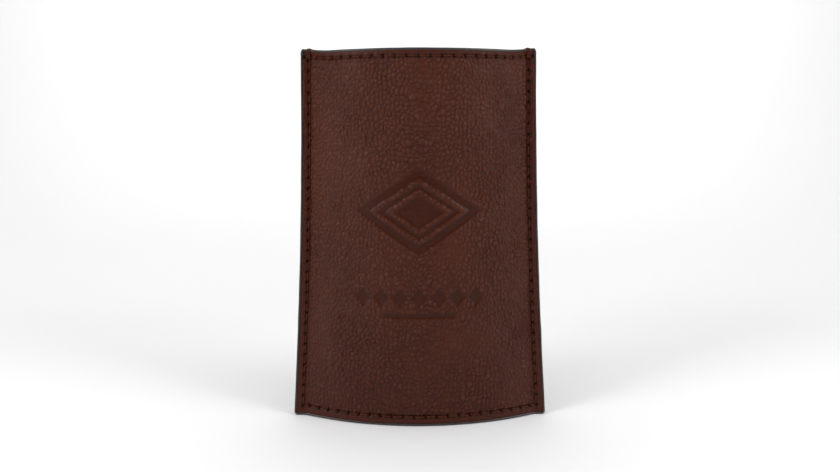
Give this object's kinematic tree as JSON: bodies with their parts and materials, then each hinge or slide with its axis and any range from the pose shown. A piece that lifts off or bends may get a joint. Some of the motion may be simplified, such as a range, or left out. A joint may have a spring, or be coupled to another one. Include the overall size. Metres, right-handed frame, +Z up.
{
  "type": "card holder",
  "caption": "Upright leather sleeve for cards: two bowed panels, each leather, board and lining, sewn along the sides and base, with an open lens-shaped mouth and painted edges.",
  "frame": {"origin": "on the floor, in the middle of the sleeve's outer box", "axes": "+X right, +Y to the back (the front panel faces -Y), +Z up to the mouth"},
  "size_m": [0.071, 0.0316, 0.1022],
  "materials": {
    "leather": "dark brown pebbled grain, satin",
    "board": "raw fibre board",
    "lining": "thin smooth brown lining leather, matt",
    "thread": "waxed brown twisted thread",
    "edge_coat": "near-black edge paint, half gloss"
  },
  "bodies": {
    "root": {"front_leather": "leather", "front_board": "board", "front_lining": "lining", "seam_thread_front": "thread", "mouth_thread_front_outside": "thread", "mouth_thread_front_inside": "thread", "edge_coat_front_mouth": "edge_coat", "back_leather": "leather", "back_board": "board", "back_lining": "lining", "seam_thread_back": "thread", "mouth_thread_back_outside": "thread", "mouth_thread_back_inside": "thread", "edge_coat_back_mouth": "edge_coat", "edge_coat_seam": "edge_coat"}
  },
  "joints": []
}
